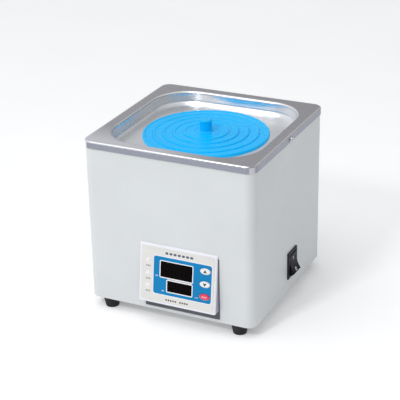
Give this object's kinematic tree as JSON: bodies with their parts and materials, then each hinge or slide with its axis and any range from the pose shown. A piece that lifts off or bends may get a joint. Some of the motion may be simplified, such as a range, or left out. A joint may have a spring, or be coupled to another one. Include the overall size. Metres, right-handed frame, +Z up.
{
  "type": "water bath",
  "caption": "Square bench-top water bath with a steel casing, pressed stainless top, round opening closed by nesting ring lids, tilted control panel and side rocker switch.",
  "frame": {"origin": "middle of the overall outline, on the bench under the feet", "axes": "+Z up; the control panel faces -Y, the mains inlet faces +Y, the rocker switch is on the +X side"},
  "size_m": [0.2084, 0.2127, 0.2025],
  "materials": {
    "casing_paint": "fine orange-peel powder coat, semi-matt off-white",
    "base_paint": "semi-matt grey powder coat",
    "stainless": "satin stainless sheet, fine brushed grain",
    "screw_steel": "bright zinc-plated steel",
    "foot_rubber": "matt black moulded rubber",
    "silicone": "soft translucent silicone",
    "mineral_wool": "matted mineral wool",
    "heater_sheath": "drawn stainless tube, slightly straw-tinted",
    "brass": "turned brass",
    "lid_blue": "glossy azure moulded plastic",
    "panel_white": "fine-textured white moulded plastic",
    "fascia_print": "printed polycarbonate overlay",
    "window_smoke": "dark smoked lens",
    "component_black": "black moulded resin",
    "component_green": "green moulded resin",
    "light_lens": "milky pale lens",
    "key_white": "glossy white plastic",
    "key_red": "glossy red plastic",
    "board_green": "solder-masked board",
    "switch_black": "black moulded nylon",
    "rocker_black": "glossy black plastic",
    "inlet_black": "black moulded nylon",
    "transformer_iron": "varnished laminations",
    "fuse_glass": "clear glass tube",
    "wire_cover": "soft insulated lead"
  },
  "bodies": {
    "bath": {"casing": "casing_paint", "deck": "stainless", "deck_screws": "screw_steel", "base_plate": "base_paint", "base_screws": "screw_steel", "foot_front_left": "foot_rubber", "foot_front_right": "foot_rubber", "foot_back_left": "foot_rubber", "foot_back_right": "foot_rubber", "foot_screws": "screw_steel", "tank": "stainless", "tank_insulation": "mineral_wool", "heater": "heater_sheath", "heater_nuts": "brass", "heater_seals": "silicone", "temperature_probe": "heater_sheath", "probe_gland": "silicone", "overheat_thermostat": "component_black", "panel_housing": "panel_white", "panel_fascia": "fascia_print", "panel_screws": "screw_steel", "upper_window": "window_smoke", "lower_window": "window_smoke", "upper_display": "component_black", "lower_display": "component_black", "indicator_light_1": "light_lens", "indicator_light_2": "light_lens", "indicator_light_3": "light_lens", "key_switches": "component_black", "control_board": "board_green", "control_board_screws": "screw_steel", "switch_body": "switch_black", "switch_terminals": "brass", "inlet_body": "inlet_black", "inlet_pins": "brass", "inlet_screws": "screw_steel", "power_board": "board_green", "board_standoffs": "brass", "board_screws": "screw_steel", "transformer": "transformer_iron", "heater_relay": "component_black", "board_fuse": "fuse_glass", "terminal_block": "component_green", "earth_stud": "brass", "mains_leads": "wire_cover", "heater_leads": "wire_cover", "probe_lead": "wire_cover", "panel_cable": "wire_cover"},
    "ring_1": {"lid_ring_1": "lid_blue"},
    "ring_2": {"lid_ring_2": "lid_blue"},
    "ring_3": {"lid_ring_3": "lid_blue"},
    "ring_4": {"lid_ring_4": "lid_blue"},
    "cap": {"lid_cap": "lid_blue", "lid_knob": "lid_blue", "knob_screw": "screw_steel"},
    "shelf": {"shelf": "stainless"},
    "key_up": {"key_up": "key_white"},
    "key_down": {"key_down": "key_white"},
    "key_set": {"key_set": "key_red"},
    "rocker": {"rocker": "rocker_black"}
  },
  "joints": [
    {"name": "ring_1_lift", "type": "slide", "parent": "bath", "child": "ring_1", "axis": [0, 0, 1], "range_m": [0, 0.04]},
    {"name": "ring_2_lift", "type": "slide", "parent": "ring_1", "child": "ring_2", "axis": [0, 0, 1], "range_m": [0, 0.04]},
    {"name": "ring_3_lift", "type": "slide", "parent": "ring_2", "child": "ring_3", "axis": [0, 0, 1], "range_m": [0, 0.04]},
    {"name": "ring_4_lift", "type": "slide", "parent": "ring_3", "child": "ring_4", "axis": [0, 0, 1], "range_m": [0, 0.04]},
    {"name": "cap_lift", "type": "slide", "parent": "ring_4", "child": "cap", "axis": [0, 0, 1], "range_m": [0, 0.04]},
    {"name": "shelf_lift", "type": "slide", "parent": "bath", "child": "shelf", "axis": [0, 0, 1], "range_m": [0, 0.06]},
    {"name": "key_up_press", "type": "slide", "parent": "bath", "child": "key_up", "axis": [0, 0.9919, -0.1271], "range_m": [0, 0.0008], "stiffness_N_per_m": 400},
    {"name": "key_down_press", "type": "slide", "parent": "bath", "child": "key_down", "axis": [0, 0.9919, -0.1271], "range_m": [0, 0.0008], "stiffness_N_per_m": 400},
    {"name": "key_set_press", "type": "slide", "parent": "bath", "child": "key_set", "axis": [0, 0.9919, -0.1271], "range_m": [0, 0.0008], "stiffness_N_per_m": 400},
    {"name": "rocker_tilt", "type": "hinge", "parent": "bath", "child": "rocker", "pos_m": [0.0948, 0.01085, 0.0434], "axis": [0, 1, 0], "range_deg": [0, 24]}
  ]
}
